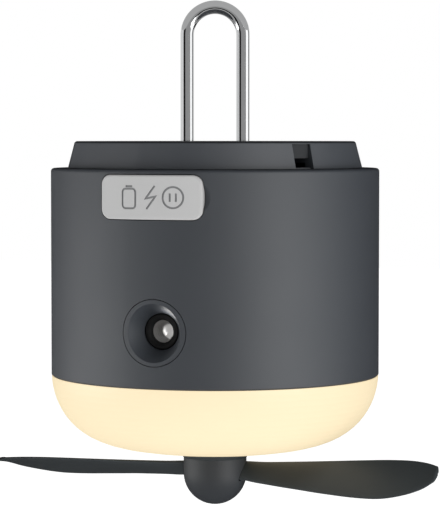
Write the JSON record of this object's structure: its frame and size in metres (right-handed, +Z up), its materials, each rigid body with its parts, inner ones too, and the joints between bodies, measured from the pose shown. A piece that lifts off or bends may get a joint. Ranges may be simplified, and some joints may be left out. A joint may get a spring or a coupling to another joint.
{
  "type": "portable camping fan",
  "caption": "Round lantern body with a folding wire bail, a lit dome and a two-blade fan below it, with charge ports under a swinging cover and a tripod socket.",
  "frame": {"origin": "lowest point of the fan's round nose, on the axis that the fan turns about", "axes": "+Z up along the fan's axis as it hangs, -Y out of the front, which carries the charge ports and the tripod socket; the buttons are at +Y"},
  "size_m": [0.1374, 0.1012, 0.1543],
  "materials": {
    "slate_plastic": "fine satin moulded plastic",
    "fan_plastic": "satin moulded plastic",
    "pale_silicone": "smooth matt silicone",
    "pale_plastic": "satin moulded plastic",
    "chrome_wire": "polished chrome plate",
    "lit_diffuser": "frosted translucent plastic, lit from inside",
    "black_plastic": "satin",
    "black_rubber": "matt",
    "plain_steel": "plated",
    "bright_steel": "nickel plated",
    "brass_bush": "turned",
    "copper_wire": "drawn copper",
    "circuit_board": "solder mask",
    "white_board": "white solder mask on aluminium",
    "white_plastic": "satin",
    "battery_wrap": "shrink sleeve",
    "magnet_ferrite": "sintered",
    "led_phosphor": "moulded lens"
  },
  "bodies": {
    "housing": {"body_shell": "slate_plastic", "top_cap": "slate_plastic", "cap_screws": "plain_steel", "bail_block": "slate_plastic", "bail_screw": "plain_steel", "port_frame": "slate_plastic", "cover_anchor": "pale_silicone", "usb_a_socket": "plain_steel", "usb_a_tongue": "white_plastic", "usb_c_socket": "plain_steel", "usb_c_tongue": "black_plastic", "main_board": "circuit_board", "board_chips": "black_plastic", "board_coil": "copper_wire", "board_capacitors": "black_plastic", "board_screws": "plain_steel", "tripod_bezel": "slate_plastic", "tripod_ring": "black_rubber", "tripod_bush": "bright_steel", "button_plate": "slate_plastic", "switch_housings": "black_plastic", "button_board": "circuit_board", "button_board_screws": "plain_steel", "indicator_lenses": "white_plastic", "indicator_leds": "led_phosphor", "battery_holder": "black_plastic", "battery_cells": "battery_wrap", "battery_tabs": "plain_steel", "holder_screws": "plain_steel", "base_plate": "slate_plastic", "base_screws": "plain_steel", "motor_can": "plain_steel", "motor_magnets": "magnet_ferrite", "motor_end_bell": "black_plastic", "motor_brushes": "copper_wire", "lower_bush": "brass_bush", "upper_bush": "brass_bush", "motor_screws": "plain_steel", "led_board": "white_board", "led_chips": "led_phosphor", "reflector": "white_plastic", "shaft_sleeve": "white_plastic", "light_diffuser": "lit_diffuser", "seal_ring": "black_rubber"},
    "rotor": {"propeller": "fan_plastic", "nose_cap": "slate_plastic", "hub_insert": "brass_bush", "motor_shaft": "bright_steel", "armature": "plain_steel", "motor_windings": "copper_wire", "commutator": "copper_wire"},
    "bail": {"bail": "chrome_wire"},
    "port_cover": {"port_cover": "pale_silicone"},
    "fan_button": {"fan_button": "pale_plastic", "fan_switch_plunger": "black_plastic"},
    "lamp_button": {"lamp_button": "pale_plastic", "lamp_switch_plunger": "black_plastic"}
  },
  "joints": [
    {"name": "fan_spin", "type": "hinge", "parent": "housing", "child": "rotor", "pos_m": [0, 0, 0.05], "axis": [0, 0, 1], "continuous": true},
    {"name": "bail_fold", "type": "hinge", "parent": "housing", "child": "bail", "pos_m": [-0.00163, 0.0043, 0.10925], "axis": [0.9348, 0.3551, 0], "range_deg": [-80, 90]},
    {"name": "cover_swing", "type": "hinge", "parent": "housing", "child": "port_cover", "pos_m": [-0.0165, -0.0472, 0.0953], "axis": [0, 0, -1], "range_deg": [0, 95]},
    {"name": "fan_button_press", "type": "slide", "parent": "housing", "child": "fan_button", "axis": [0, -1, 0], "range_m": [0, 0.0005], "stiffness_N_per_m": 1500},
    {"name": "lamp_button_press", "type": "slide", "parent": "housing", "child": "lamp_button", "axis": [0, -1, 0], "range_m": [0, 0.0005], "stiffness_N_per_m": 1500}
  ]
}
